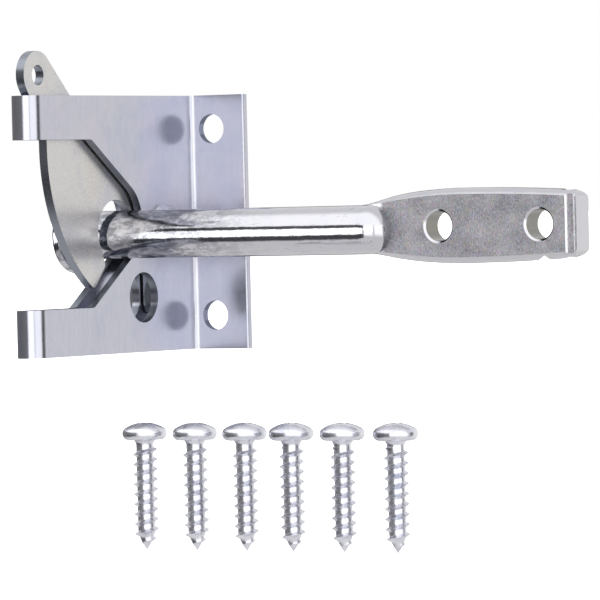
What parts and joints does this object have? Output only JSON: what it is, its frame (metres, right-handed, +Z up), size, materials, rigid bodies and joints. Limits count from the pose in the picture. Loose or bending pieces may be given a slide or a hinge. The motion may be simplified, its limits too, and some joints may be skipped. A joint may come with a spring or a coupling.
{
  "type": "gate latch",
  "caption": "Self-latching gate latch: a folded housing with a V mouth, a gravity pawl on a rivet, a strike bar with a flat screw-on end, and loose mounting screws.",
  "frame": {"origin": "on the post's face, midway between the two flanges, at half the housing's height", "axes": "+X along the strike bar towards its flat end, -Y out of the post's face towards the open mouth, +Z up"},
  "size_m": [0.1615, 0.077, 0.1289],
  "materials": {
    "zinc_sheet": "clear zinc plated sheet, satin with a faint blue cast",
    "zinc_pawl": "satin zinc plate, slightly warmer and specked",
    "zinc_rivet": "zinc plated rivet",
    "zinc_bar": "bright zinc plated drawn rod with a mottled forged flat",
    "zinc_screw": "bright zinc plated screw"
  },
  "bodies": {
    "housing": {"latch_housing": "zinc_sheet", "pivot_rivet": "zinc_rivet", "wood_screw_1": "zinc_screw", "wood_screw_2": "zinc_screw", "wood_screw_3": "zinc_screw", "wood_screw_4": "zinc_screw", "wood_screw_5": "zinc_screw", "wood_screw_6": "zinc_screw"},
    "pawl": {"pawl": "zinc_pawl"},
    "strike": {"strike_bar": "zinc_bar"}
  },
  "joints": [
    {"name": "pawl_lift", "type": "hinge", "parent": "housing", "child": "pawl", "pos_m": [0, -0.01785, 0], "axis": [-1, 0, 0], "range_deg": [0, 45]},
    {"name": "strike_slide", "type": "slide", "parent": "housing", "child": "strike", "axis": [1, 0, 0], "range_m": [-0.045, 0.005]}
  ]
}
